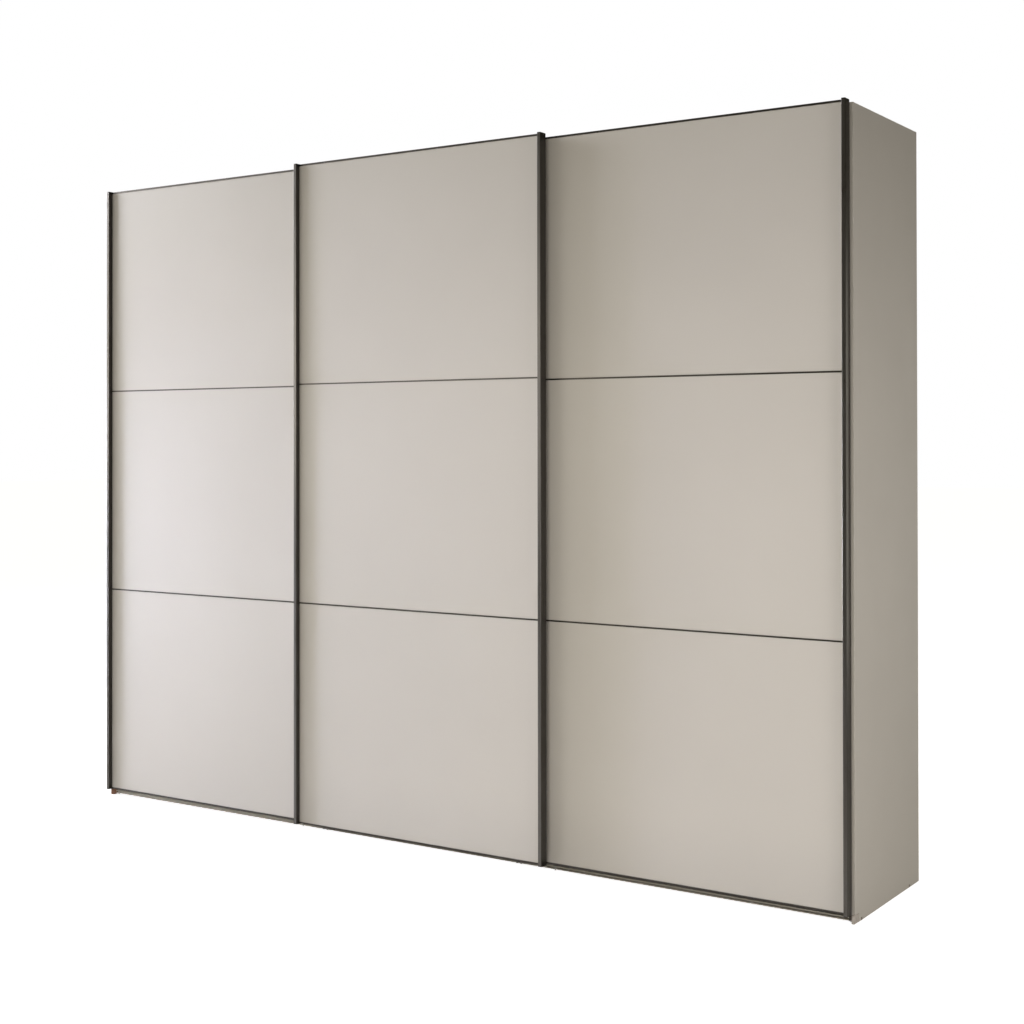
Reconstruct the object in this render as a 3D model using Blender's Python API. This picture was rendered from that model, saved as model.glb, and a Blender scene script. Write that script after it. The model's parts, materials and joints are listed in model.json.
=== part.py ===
"""Wardrobe with three sliding doors that hang in front of its case.

World frame: metres, +Z up, origin at the bottom centre of the whole wardrobe, +X to
the right as one faces the doors, and the doors on the -Y side. The middle door runs in
the front lane and the two outer doors share the rear lane, so the middle door passes in
front of either of them. Every door hangs by two carriages from a track on the top board
and is held at its foot by a track under the doors' lower edges.
"""
import math

import bmesh
import bpy
from mathutils import Matrix, Vector

# ---------------------------------------------------------------- driving dimensions
GAP = 0.0003                    # clearance between pieces that touch

WIDTH = 2.800                   # over the two side boards
SIDE_HEIGHT = 2.165
CASE_DEPTH = 0.500              # side boards, front to back
DOOR_STACK = 0.075              # from the case's front to the middle door's handles
DEPTH = CASE_DEPTH + DOOR_STACK

BOARD = 0.022                   # side boards, partitions, top and bottom boards
SHELF = 0.019
BACK = 0.005
EDGE_ROUND = 0.001              # softened edges of boards
PANEL_EDGE = 0.0006             # softened edges of door panels

TOP_BOARD_TOP = 2.122           # the side boards stand higher than the top board
BOTTOM_BOARD_Z = 0.045          # underside of the bottom boards
PARTITION_Z = 0.008             # partitions' lower edges, over their glides
BACK_INSET = 0.007              # back boards lie this far inside the rear edges
SHOE_DEPTH = 0.024              # room for a shoe at a side board's lower front corner
SHOE_HEIGHT = 0.024
SHELF_TOP = 1.790
SHELF_SETBACK = 0.020
RAIL_DROP = 0.060               # clothes rail axis below the shelf
RAIL_RADIUS = 0.0125
RAIL_BORE = 0.0105

# doors
DOOR_WIDTH = 0.948
DOOR_OVERLAP = 0.030            # middle door over each outer door
DOOR_BOTTOM = 0.0265            # outer doors; the middle door hangs LIFT higher
DOOR_TOP = 2.170
LIFT = 0.0045
LANE_PITCH = 0.040              # from the outer doors' plane to the middle door's
PANEL = 0.008                   # thickness of a door panel
PANEL_GROOVE = 0.006            # how deep a panel sits in a handle profile
HANDLE_WIDTH = 0.0115
HANDLE_PROUD = 0.017            # handle profile in front of the panels
HANDLE_BEHIND = 0.013           # and behind the panels' front face
HANDLE_ROUND = 0.0012
DOOR_BACK_GAP = 0.005           # outer doors' backs to the case
TOP_PROFILE = 0.006             # visible height of the profile over the panels
BOTTOM_PROFILE = 0.0047         # and of the one under them
PROFILE_LEG = 0.010             # hidden height of those profiles' rear leg
PROFILE_PROUD = 0.0015
STRIP_FACE = 0.0046             # visible height of a strip between two panels
STRIP_BACK = 0.014
STRIP_WEB = 0.0018
STRIP_END = 0.003               # a strip stops this far short of the right handle

# top track, carriages and rollers
TRACK_BASE = 0.002
TRACK_DEPTH = 0.050
TRACK_RIB = 0.003               # width of a running rib
TRACK_RIB_HEIGHT = 0.006
NEAR_LANE = 0.010               # rib behind the case's front, for the outer doors
FAR_LANE = 0.034                # for the middle door
ROLLER_RADIUS = 0.012           # at the bottom of the running groove
ROLLER_FLANGE = 0.0145
ROLLER_WIDTH = 0.008
ROLLER_GROOVE = 0.004
ROLLER_BORE = 0.0033
AXLE_RADIUS = 0.0030
AXLE_HEAD = 0.0048
CARRIAGE_INSET = 0.100          # carriage centre from a door's edge
CARRIAGE_WIDTH = 0.090
STEEL = 0.0025                  # sheet thickness of a carriage
CARRIAGE_LOW = 2.085
OUTER_CARRIAGE_TOP = 2.1645
ROLLER_SIDE_GAP = 0.0035        # roller centre plane to cheek, less half the roller

# bottom track and the middle door's guides
FOOT_TRACK_Z = 0.012
FOOT_TRACK_HEIGHT = 0.010
FOOT_TRACK_FRONT = 0.015        # in front of the case
FOOT_TRACK_END = 0.012          # from the wardrobe's outer faces to the track's ends
FOOT_WALL = 0.0015
FLANGE_TOP = 0.060
GUIDE_WIDTH = 0.037
GUIDE_WINDOW = 0.019            # opening between a guide's two arms

# ------------------------------------------------------------------- derived places
CASE_FRONT = -DEPTH / 2 + DOOR_STACK
CASE_BACK = DEPTH / 2
INNER = WIDTH / 2 - BOARD                       # inner face of a side board
PARTITION_X = INNER / 3 + BOARD / 6             # equal compartments
TOP_BOARD_Z = TOP_BOARD_TOP - BOARD
BOTTOM_BOARD_TOP = BOTTOM_BOARD_Z + BOARD
BACK_FRONT = CASE_BACK - BACK_INSET - BACK
OUTER_PLANE = CASE_FRONT - DOOR_BACK_GAP - HANDLE_BEHIND
MIDDLE_PLANE = OUTER_PLANE - LANE_PITCH
OUTER_DOOR_X = DOOR_WIDTH - DOOR_OVERLAP
TRACK_TOP = TOP_BOARD_TOP + GAP + TRACK_BASE
AXLE_Z = TRACK_TOP + TRACK_RIB_HEIGHT + GAP + ROLLER_RADIUS
FOOT_TRACK_TOP = FOOT_TRACK_Z + FOOT_TRACK_HEIGHT

# --------------------------------------------------------------------- starting clean
for old in list(bpy.data.objects):
    bpy.data.objects.remove(old, do_unlink=True)


def material(name, color, roughness, metallic=0.0):
    """A plain Principled material."""
    made = bpy.data.materials.new(name)
    made.use_nodes = True
    shader = made.node_tree.nodes["Principled BSDF"]
    shader.inputs["Base Color"].default_value = (*color, 1.0)
    shader.inputs["Roughness"].default_value = roughness
    shader.inputs["Metallic"].default_value = metallic
    return made


PANEL_LACQUER = material("panel_lacquer", (0.56, 0.52, 0.46), 0.38)
CASE_LACQUER = material("case_lacquer", (0.47, 0.43, 0.37), 0.50)
INNER_BOARD = material("inner_board", (0.60, 0.56, 0.50), 0.55)
DARK_PROFILE = material("dark_profile", (0.060, 0.060, 0.062), 0.35, 0.85)
TRACK_METAL = material("track_metal", (0.30, 0.29, 0.25), 0.40, 0.9)
SHEET_STEEL = material("sheet_steel", (0.55, 0.56, 0.57), 0.35, 1.0)
RAIL_METAL = material("rail_metal", (0.70, 0.70, 0.70), 0.25, 1.0)
ROLLER_PLASTIC = material("roller_plastic", (0.05, 0.05, 0.05), 0.45)
GUIDE_PLASTIC = material("guide_plastic", (0.06, 0.055, 0.05), 0.5)


# ----------------------------------------------------------------------- shape makers
def add_object(name, bm, look, parent=None, place=(0.0, 0.0, 0.0)):
    """Turn a bmesh into a named object, placed in world coordinates."""
    bmesh.ops.recalc_face_normals(bm, faces=bm.faces)
    mesh = bpy.data.meshes.new(name)
    bm.to_mesh(mesh)
    bm.free()
    made = bpy.data.objects.new(name, mesh)
    made.data.materials.append(look)
    bpy.context.scene.collection.objects.link(made)
    made.location = place
    if parent is not None:
        made.parent = parent
        made.matrix_parent_inverse = Matrix.Translation(parent.location).inverted()
    return made


def soften(made, width, segments=2):
    """Round an object's edges with a Bevel modifier."""
    bevel = made.modifiers.new("soft_edges", "BEVEL")
    bevel.width = width
    bevel.segments = segments
    bevel.limit_method = "ANGLE"
    bevel.angle_limit = math.radians(50)
    return made


def board(name, x_range, y_range, z_range, look, parent=None, edge=EDGE_ROUND):
    """A rectangular board between the given limits, with softened edges."""
    low = Vector((x_range[0], y_range[0], z_range[0]))
    high = Vector((x_range[1], y_range[1], z_range[1]))
    size = high - low
    bm = bmesh.new()
    bmesh.ops.create_cube(bm, size=1.0)
    bmesh.ops.scale(bm, vec=size, verts=bm.verts)
    made = add_object(name, bm, look, parent, (low + high) / 2)
    return soften(made, edge)


def fillet(corners, steps=4):
    """Outline points from (u, v, radius) corners; a radius of 0 keeps the corner."""
    points = []
    count = len(corners)
    for index, (u, v, radius) in enumerate(corners):
        corner = Vector((u, v))
        if radius == 0:
            points.append(corner)
            continue
        before = (Vector(corners[index - 1][:2]) - corner).normalized()
        after = (Vector(corners[(index + 1) % count][:2]) - corner).normalized()
        half = before.angle(after) / 2
        start = corner + before * radius / math.tan(half)
        end = corner + after * radius / math.tan(half)
        centre = corner + (before + after).normalized() * radius / math.sin(half)
        first = start - centre
        sweep = first.angle_signed(end - centre)
        for step in range(steps + 1):
            turn = Matrix.Rotation(-sweep * step / steps, 2)
            points.append(centre + turn @ first)
    return points


def extrusion(name, outline, axis, start, end, look, parent=None):
    """A (u, v) outline drawn along X (u = Y, v = Z) or along Z (u = X, v = Y)."""
    bm = bmesh.new()
    corners = []
    for u, v in outline:
        place = (start, u, v) if axis == "X" else (u, v, start)
        corners.append(bm.verts.new(place))
    cap = bm.faces.new(corners)
    drawn = bmesh.ops.extrude_face_region(bm, geom=[cap])
    moved = [item for item in drawn["geom"] if isinstance(item, bmesh.types.BMVert)]
    reach = (end - start, 0, 0) if axis == "X" else (0, 0, end - start)
    bmesh.ops.translate(bm, vec=reach, verts=moved)
    return add_object(name, bm, look, parent)


def turned(name, outline, segments, look, place, parent=None):
    """Spin a closed (radius, along) outline about the Y axis through place."""
    bm = bmesh.new()
    ring = [bm.verts.new((radius, along, 0.0)) for radius, along in outline]
    edges = [bm.edges.new((ring[i], ring[(i + 1) % len(ring)])) for i in range(len(ring))]
    bmesh.ops.spin(bm, geom=ring + edges, cent=(0, 0, 0), axis=(0, 1, 0),
                   angle=2 * math.pi, steps=segments, use_merge=True, use_duplicate=False)
    bmesh.ops.remove_doubles(bm, verts=bm.verts, dist=1e-6)
    made = add_object(name, bm, look, parent, place)
    made.data.shade_smooth()
    made.data.set_sharp_from_angle(angle=math.radians(35))
    return made


def tube(name, radius, bore, x_range, y, z, look, segments=32):
    """A round tube along X."""
    bm = bmesh.new()
    ring = [bm.verts.new((along, across, 0.0))
            for along, across in ((x_range[0], radius), (x_range[1], radius),
                                  (x_range[1], bore), (x_range[0], bore))]
    edges = [bm.edges.new((ring[i], ring[(i + 1) % 4])) for i in range(4)]
    bmesh.ops.spin(bm, geom=ring + edges, cent=(0, 0, 0), axis=(1, 0, 0),
                   angle=2 * math.pi, steps=segments, use_merge=True, use_duplicate=False)
    bmesh.ops.remove_doubles(bm, verts=bm.verts, dist=1e-6)
    made = add_object(name, bm, look, None, (0.0, y, z))
    made.data.shade_smooth()
    made.data.set_sharp_from_angle(angle=math.radians(35))
    return made


def hidden(helper):
    """Keep a helper out of the model itself."""
    helper.hide_render = True
    helper.display_type = "WIRE"
    return helper


def pin(name, radius, y_range, x, z):
    """A hidden helper cylinder along Y that a Boolean joins to a carriage."""
    bm = bmesh.new()
    length = y_range[1] - y_range[0]
    bmesh.ops.create_cone(bm, cap_ends=True, segments=24, radius1=radius, radius2=radius,
                          depth=length)
    bmesh.ops.rotate(bm, cent=(0, 0, 0), matrix=Matrix.Rotation(math.pi / 2, 3, "X"),
                     verts=bm.verts)
    return hidden(add_object(name, bm, SHEET_STEEL, None, (x, sum(y_range) / 2, z)))


def combine(made, helper, operation):
    """Join a helper to an object, or cut the helper's shape out of it."""
    step = made.modifiers.new("with_" + helper.name, "BOOLEAN")
    step.operation = operation
    step.solver = "EXACT"
    step.object = helper


# ------------------------------------------------------------------------------- case
def build_case():
    """Side boards, partitions, top, bottom, back and fittings inside."""
    y_inner = (CASE_FRONT, BACK_FRONT - GAP)
    notch_y = CASE_FRONT + SHOE_DEPTH
    outline = [(notch_y, 0), (CASE_BACK, 0), (CASE_BACK, SIDE_HEIGHT), (CASE_FRONT, SIDE_HEIGHT),
               (CASE_FRONT, SHOE_HEIGHT), (notch_y, SHOE_HEIGHT)]
    for name, x_low in (("left_side", -WIDTH / 2), ("right_side", INNER)):
        soften(extrusion(name, outline, "X", x_low, x_low + BOARD, CASE_LACQUER), EDGE_ROUND)
    half = BOARD / 2
    for name, x in (("left_partition", -PARTITION_X), ("right_partition", PARTITION_X)):
        height = (PARTITION_Z, TOP_BOARD_Z - GAP)
        board(name, (x - half, x + half), y_inner, height, INNER_BOARD)
    reach = INNER - GAP
    board("top_board", (-reach, reach), y_inner, (TOP_BOARD_Z, TOP_BOARD_TOP), INNER_BOARD)

    bays = (("left", -reach, -PARTITION_X - half - GAP),
            ("middle", -PARTITION_X + half + GAP, PARTITION_X - half - GAP),
            ("right", PARTITION_X + half + GAP, reach))
    y_shelf = (CASE_FRONT + SHELF_SETBACK, BACK_FRONT - GAP)
    rail_y = (y_shelf[0] + y_shelf[1]) / 2
    rail_z = SHELF_TOP - SHELF - RAIL_DROP
    for side, x_low, x_high in bays:
        inside = (x_low, x_high)
        board(side + "_bottom_board", inside, y_inner,
              (BOTTOM_BOARD_Z, BOTTOM_BOARD_TOP), INNER_BOARD)
        board(side + "_shelf", inside, y_shelf, (SHELF_TOP - SHELF, SHELF_TOP), INNER_BOARD)
        tube(side + "_clothes_rail", RAIL_RADIUS, RAIL_BORE, inside, rail_y, rail_z,
             RAIL_METAL)

    joint = PARTITION_X
    backs = (("left_back", -reach, -joint - GAP / 2), ("right_back", joint + GAP / 2, reach),
             ("middle_back", -joint + GAP / 2, joint - GAP / 2))
    for name, x_low, x_high in backs:
        board(name, (x_low, x_high), (BACK_FRONT, BACK_FRONT + BACK),
              (BOTTOM_BOARD_Z, TOP_BOARD_TOP), INNER_BOARD, edge=PANEL_EDGE)


def build_top_track():
    """Two running ribs on one base, screwed to the top board."""
    low = TOP_BOARD_TOP + GAP
    rib_top = TRACK_TOP + TRACK_RIB_HEIGHT
    front = CASE_FRONT + GAP
    outline = [(front, low), (front + TRACK_DEPTH, low), (front + TRACK_DEPTH, rib_top),
               (front + TRACK_DEPTH - TRACK_BASE, rib_top),
               (front + TRACK_DEPTH - TRACK_BASE, TRACK_TOP)]
    for lane in (FAR_LANE, NEAR_LANE):
        rear = CASE_FRONT + lane + TRACK_RIB / 2
        fore = CASE_FRONT + lane - TRACK_RIB / 2
        outline += [(rear, TRACK_TOP), (rear, rib_top), (fore, rib_top), (fore, TRACK_TOP)]
    outline += [(front, TRACK_TOP)]
    reach = INNER - GAP
    extrusion("top_track", outline, "X", -reach, reach, TRACK_METAL)


def build_bottom_track():
    """Guide track under the doors: a slot in front and a channel behind it."""
    front = CASE_FRONT - FOOT_TRACK_FRONT
    rear = CASE_FRONT - GAP
    low = FOOT_TRACK_Z
    top = FOOT_TRACK_TOP
    chamber_front = front + 0.0025
    chamber_rear = front + 0.0075
    mouth = (low + 0.003, low + 0.007)
    chamber = (low + FOOT_WALL, top - FOOT_WALL)
    outline = [(front, low), (rear, low), (rear, FLANGE_TOP), (rear - FOOT_WALL, FLANGE_TOP),
               (rear - FOOT_WALL, low + 0.002), (chamber_rear + FOOT_WALL, low + 0.002),
               (chamber_rear + FOOT_WALL, top), (front, top),
               (front, mouth[1]), (chamber_front, mouth[1]), (chamber_front, chamber[1]),
               (chamber_rear, chamber[1]), (chamber_rear, chamber[0]),
               (chamber_front, chamber[0]), (chamber_front, mouth[0]), (front, mouth[0])]
    end = WIDTH / 2 - FOOT_TRACK_END
    extrusion("bottom_track", outline, "X", -end, end, TRACK_METAL)


# ------------------------------------------------------------------------------ doors
def handle_outline(x_inner, x_outer, plane):
    """Section of a handle profile: a proud blade with a groove for the panels."""
    front = plane - HANDLE_PROUD
    rear = plane + HANDLE_BEHIND
    groove = x_inner + math.copysign(PANEL_GROOVE, x_outer - x_inner)
    soft = HANDLE_ROUND
    corners = [(x_inner, front, soft), (x_outer, front, soft), (x_outer, rear, 0),
               (x_inner, rear, 0), (x_inner, plane + PANEL + 0.0004, 0),
               (groove, plane + PANEL + 0.0004, 0), (groove, plane - 0.0004, 0),
               (x_inner, plane - 0.0004, 0)]
    return fillet(corners)


def channel_outline(plane, edge_z, face_z, leg_z):
    """U section over a panel's edge: short leg in front, longer leg behind."""
    front = plane - PROFILE_PROUD
    rear = plane + PANEL + PROFILE_PROUD
    web = edge_z + math.copysign(0.0015, face_z - edge_z)
    return [(front, edge_z), (rear, edge_z), (rear, leg_z), (plane + PANEL + GAP, leg_z),
            (plane + PANEL + GAP, web), (plane - GAP, web), (plane - GAP, face_z),
            (front, face_z)]


def strip_outline(plane, z):
    """H section that joins two panels, narrow in front and wide behind."""
    face = STRIP_FACE / 2
    web = STRIP_WEB / 2
    back = STRIP_BACK / 2
    rear = plane + PANEL
    return [(plane - PROFILE_PROUD, z - face), (plane - GAP, z - face), (plane - GAP, z - web),
            (rear + GAP, z - web), (rear + GAP, z - back), (rear + PROFILE_PROUD, z - back),
            (rear + PROFILE_PROUD, z + back), (rear + GAP, z + back), (rear + GAP, z + web),
            (plane - GAP, z + web), (plane - GAP, z + face), (plane - PROFILE_PROUD, z + face)]


def build_carriage(name, x, door_back, top, lane, parent):
    """Bent sheet from the door's back up and over to a cheek with the axle."""
    plate = door_back + GAP
    centre = CASE_FRONT + lane
    cheek = centre + ROLLER_WIDTH / 2 + ROLLER_SIDE_GAP
    low = AXLE_Z - 0.010
    outline = [(plate, CARRIAGE_LOW), (plate, top), (cheek + STEEL, top), (cheek + STEEL, low),
               (cheek, low), (cheek, top - STEEL), (plate + STEEL, top - STEEL),
               (plate + STEEL, CARRIAGE_LOW)]
    half = CARRIAGE_WIDTH / 2
    made = extrusion(name, outline, "X", x - half, x + half, SHEET_STEEL, parent)
    nose = centre - ROLLER_WIDTH / 2 - 0.0005
    axle = pin(name + "_axle", AXLE_RADIUS, (nose - 0.0005, cheek + 0.001), x, AXLE_Z)
    combine(made, axle, "UNION")
    combine(made, pin(name + "_head", AXLE_HEAD, (nose - 0.0015, nose), x, AXLE_Z), "UNION")


def build_roller(name, x, lane, parent):
    """Grooved wheel that rides on a rib of the top track."""
    half = ROLLER_WIDTH / 2
    groove = ROLLER_GROOVE / 2
    outline = [(ROLLER_BORE, -half), (ROLLER_FLANGE, -half), (ROLLER_FLANGE, -groove - 0.0008),
               (ROLLER_RADIUS, -groove), (ROLLER_RADIUS, groove),
               (ROLLER_FLANGE, groove + 0.0008), (ROLLER_FLANGE, half), (ROLLER_BORE, half)]
    turned(name, outline, 40, ROLLER_PLASTIC, (x, CASE_FRONT + lane, AXLE_Z), parent)


def build_guide(name, x, door_bottom, plane, parent):
    """Two sloping arms under the middle door, with a hooked tongue in the bottom track."""
    track_front = CASE_FRONT - FOOT_TRACK_FRONT
    top = door_bottom - GAP
    slot_z = FOOT_TRACK_Z + 0.005
    tongue = (slot_z - 0.0011, slot_z + 0.0009)
    hook = (track_front + 0.0035, track_front + 0.0060)
    mouth = track_front - 0.002
    foot = (plane + 0.0045, plane + 0.0125)
    outline = [(foot[0], top), (foot[0], top - 0.0015), (foot[0] + 0.004, top - 0.003),
               (mouth, tongue[0]), (hook[0], tongue[0]), (hook[0], tongue[0] - 0.0012),
               (hook[1], tongue[0] - 0.0012), (hook[1], tongue[1] + 0.0014),
               (hook[0], tongue[1] + 0.0014), (hook[0], tongue[1]), (mouth, tongue[1]),
               (foot[1], top - 0.002), (foot[1], top)]
    half = GUIDE_WIDTH / 2
    made = extrusion(name, outline, "X", x - half, x + half, GUIDE_PLASTIC, parent)
    opening = [(foot[1], FOOT_TRACK_Z), (mouth, FOOT_TRACK_Z), (mouth, top + 0.002),
               (foot[1], top + 0.002)]
    half = GUIDE_WINDOW / 2
    window = extrusion(name + "_window", opening, "X", x - half, x + half, GUIDE_PLASTIC)
    combine(made, hidden(window), "DIFFERENCE")


def build_door(side, centre_x, plane, lift, lane, carriage_top):
    """One door of thirteen pieces, all parented to an empty at its centre."""
    bottom = DOOR_BOTTOM + lift
    top = DOOR_TOP + lift
    empty = bpy.data.objects.new(side + "_door", None)
    bpy.context.scene.collection.objects.link(empty)
    empty.location = (centre_x, plane, (bottom + top) / 2)

    half = DOOR_WIDTH / 2
    inner = half - HANDLE_WIDTH
    for hand, sign in (("left", -1), ("right", 1)):
        outline = handle_outline(centre_x + sign * inner, centre_x + sign * half, plane)
        extrusion(f"{side}_door_{hand}_handle", outline, "Z", bottom, top, DARK_PROFILE, empty)

    x_low = centre_x - inner + GAP
    x_high = centre_x + inner - GAP
    cap = channel_outline(plane, top, top - TOP_PROFILE, top - PROFILE_LEG)
    extrusion(side + "_door_top_profile", cap, "X", x_low, x_high, DARK_PROFILE, empty)
    sill = channel_outline(plane, bottom, bottom + BOTTOM_PROFILE, bottom + PROFILE_LEG)
    extrusion(side + "_door_bottom_profile", sill, "X", x_low, x_high, DARK_PROFILE, empty)

    visible = (bottom + BOTTOM_PROFILE, top - TOP_PROFILE)
    third = (visible[1] - visible[0]) / 3
    joints = [visible[0] + third, visible[0] + 2 * third]
    for name, z in zip(("lower", "upper"), joints):
        extrusion(f"{side}_door_{name}_strip", strip_outline(plane, z), "X", x_low,
                  x_high - STRIP_END, DARK_PROFILE, empty)

    web = STRIP_WEB / 2 + GAP
    lowest = bottom + 0.0015 + GAP
    highest = top - 0.0015 - GAP
    edges = [lowest, joints[0] - web, joints[0] + web, joints[1] - web, joints[1] + web, highest]
    sunk = PANEL_GROOVE - GAP
    for index, name in enumerate(("lower", "middle", "upper")):
        board(f"{side}_door_{name}_panel", (centre_x - inner - sunk, centre_x + inner + sunk),
              (plane, plane + PANEL), (edges[2 * index], edges[2 * index + 1]),
              PANEL_LACQUER, empty, edge=PANEL_EDGE)

    back = plane + HANDLE_BEHIND
    for hand, sign in (("left", -1), ("right", 1)):
        x = centre_x + sign * (half - CARRIAGE_INSET)
        build_carriage(f"{side}_door_{hand}_carriage", x, back, carriage_top, lane, empty)
        build_roller(f"{side}_door_{hand}_roller", x, lane, empty)
    return empty


build_case()
build_top_track()
build_bottom_track()
build_door("left", -OUTER_DOOR_X, OUTER_PLANE, 0.0, NEAR_LANE, OUTER_CARRIAGE_TOP)
build_door("right", OUTER_DOOR_X, OUTER_PLANE, 0.0, NEAR_LANE, OUTER_CARRIAGE_TOP)
MIDDLE = build_door("middle", 0.0, MIDDLE_PLANE, LIFT, FAR_LANE, DOOR_TOP + LIFT - 0.0005)
for hand, sign in (("left", -1), ("right", 1)):
    build_guide(f"middle_door_{hand}_guide", sign * (DOOR_WIDTH / 2 - CARRIAGE_INSET),
                DOOR_BOTTOM + LIFT, MIDDLE_PLANE, MIDDLE)
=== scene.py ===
"""Looks of the sliding door wardrobe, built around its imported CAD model.

The CAD pieces stay and get procedural materials. Small pieces that the CAD leaves out are
added here: shoes, tabs and glides under the case, end caps, clips, screws and stops of the
tracks, rail cups, shelf pins and nails, and on the doors the handles' caps, the carriages'
screws, guide blades and guide pads.
"""
import json
import math

import bmesh
import bpy
from mathutils import Matrix, Vector


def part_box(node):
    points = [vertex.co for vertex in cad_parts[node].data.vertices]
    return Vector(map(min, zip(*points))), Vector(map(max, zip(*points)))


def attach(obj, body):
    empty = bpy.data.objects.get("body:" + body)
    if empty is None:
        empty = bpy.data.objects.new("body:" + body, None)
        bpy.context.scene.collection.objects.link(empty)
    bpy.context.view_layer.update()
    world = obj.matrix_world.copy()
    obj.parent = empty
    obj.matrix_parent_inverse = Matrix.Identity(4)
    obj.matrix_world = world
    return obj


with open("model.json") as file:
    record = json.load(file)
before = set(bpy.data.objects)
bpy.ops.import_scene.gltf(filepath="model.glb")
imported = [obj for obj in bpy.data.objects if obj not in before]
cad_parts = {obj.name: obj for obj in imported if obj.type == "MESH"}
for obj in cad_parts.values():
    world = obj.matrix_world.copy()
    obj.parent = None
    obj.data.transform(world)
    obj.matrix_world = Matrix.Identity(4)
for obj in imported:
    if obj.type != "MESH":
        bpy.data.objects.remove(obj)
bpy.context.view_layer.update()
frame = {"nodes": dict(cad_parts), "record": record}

DOORS = ("left", "middle", "right")
HANDS = (("left", -1), ("right", 1))


# ------------------------------------------------------------------------- materials
MIX_FIRST = 6                   # sockets of a Mix node that mixes colours
MIX_SECOND = 7
MIX_RESULT = 2
WORN_WIDTH = 0.0012             # rubbed band along a profile's edge
LINE_STRETCH = 0.01             # drawing lines are a hundred times as long as wide
THREAD_STRETCH = 0.06           # the same for the printed threads


class Look:
    """A Principled material whose colour, roughness and bump come from nodes."""

    def __init__(self, name):
        self.material = bpy.data.materials.new(name)
        self.material.use_nodes = True
        self.tree = self.material.node_tree
        self.shader = self.tree.nodes["Principled BSDF"]
        self.place = self.node("ShaderNodeTexCoord").outputs["Object"]

    def node(self, kind, **settings):
        made = self.tree.nodes.new(kind)
        for key, value in settings.items():
            setattr(made, key, value)
        return made

    def feed(self, socket, value):
        """Link an output to a socket, or set the socket to a plain value."""
        if isinstance(value, bpy.types.NodeSocket):
            self.tree.links.new(value, socket)
        else:
            socket.default_value = value

    def stretched(self, scale):
        """Object coordinates scaled per axis."""
        mapping = self.node("ShaderNodeMapping")
        self.feed(mapping.inputs["Vector"], self.place)
        mapping.inputs["Scale"].default_value = scale
        return mapping.outputs["Vector"]

    def noise(self, scale, detail, rough=0.5, stretch=(1, 1, 1)):
        """Noise from 0 to 1; scale is in cells per metre."""
        made = self.node("ShaderNodeTexNoise")
        self.feed(made.inputs["Vector"], self.stretched(stretch))
        made.inputs["Scale"].default_value = scale
        made.inputs["Detail"].default_value = detail
        made.inputs["Roughness"].default_value = rough
        return made.outputs["Fac"]

    def span(self, value, low, high, start=0.3, end=0.7):
        """Map a noise value to the range low..high."""
        made = self.node("ShaderNodeMapRange")
        self.feed(made.inputs["Value"], value)
        for socket, number in (("From Min", start), ("From Max", end), ("To Min", low),
                               ("To Max", high)):
            made.inputs[socket].default_value = number
        return made.outputs["Result"]

    def math(self, operation, first, second):
        made = self.node("ShaderNodeMath", operation=operation)
        self.feed(made.inputs[0], first)
        self.feed(made.inputs[1], second)
        return made.outputs[0]

    def mix(self, fac, first, second):
        """Mix two colours, each an output or an (r, g, b) tuple."""
        made = self.node("ShaderNodeMix", data_type="RGBA")
        self.feed(made.inputs["Factor"], fac)
        for socket, color in ((MIX_FIRST, first), (MIX_SECOND, second)):
            self.feed(made.inputs[socket], (*color, 1.0) if isinstance(color, tuple) else color)
        return made.outputs[MIX_RESULT]

    def bump(self, height, distance, strength):
        """Bump from a 0..1 height whose full range is distance metres."""
        made = self.node("ShaderNodeBump")
        made.inputs["Strength"].default_value = strength
        made.inputs["Distance"].default_value = distance
        self.feed(made.inputs["Height"], height)
        return made.outputs["Normal"]

    def worn_edge(self):
        """1 on edges, 0 on flat faces, from the bevelled normal."""
        bevel = self.node("ShaderNodeBevel", samples=4)
        bevel.inputs["Radius"].default_value = WORN_WIDTH
        geometry = self.node("ShaderNodeNewGeometry")
        dot = self.node("ShaderNodeVectorMath", operation="DOT_PRODUCT")
        self.feed(dot.inputs[0], bevel.outputs["Normal"])
        self.feed(dot.inputs[1], geometry.outputs["Normal"])
        return self.span(dot.outputs["Value"], 1.0, 0.0, 0.80, 0.99)

    def finish(self, color, roughness, normal, **constants):
        """Link the three outputs, and set constants such as coat_weight on their sockets."""
        inputs = self.shader.inputs
        self.feed(inputs["Base Color"], color)
        self.feed(inputs["Roughness"], roughness)
        self.feed(inputs["Normal"], normal)
        for key, value in constants.items():
            inputs[key.replace("_", " ").title()].default_value = value
        return self.material


def shade(color, factor):
    return tuple(channel * factor for channel in color)


def panel_lacquer():
    """Satin lacquer: faint clouds, fine orange peel and slightly uneven gloss."""
    look = Look("door_panel_lacquer")
    base = (0.583, 0.550, 0.506)
    clouds = look.noise(1.7, 3.0, 0.55)
    color = look.mix(look.span(clouds, 0.0, 1.0), shade(base, 0.975), shade(base, 1.02))
    specks = look.noise(420.0, 2.0)
    color = look.mix(look.span(specks, 0.0, 0.35, 0.62, 0.80), color, shade(base, 0.93))
    haze = look.noise(5.0, 4.0, 0.6)
    peel = look.noise(700.0, 2.0, 0.5)
    normal = look.bump(peel, 0.00003, 0.6)
    return look.finish(color, look.span(haze, 0.40, 0.48), normal, coat_weight=0.10,
                       coat_roughness=0.30)


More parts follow.
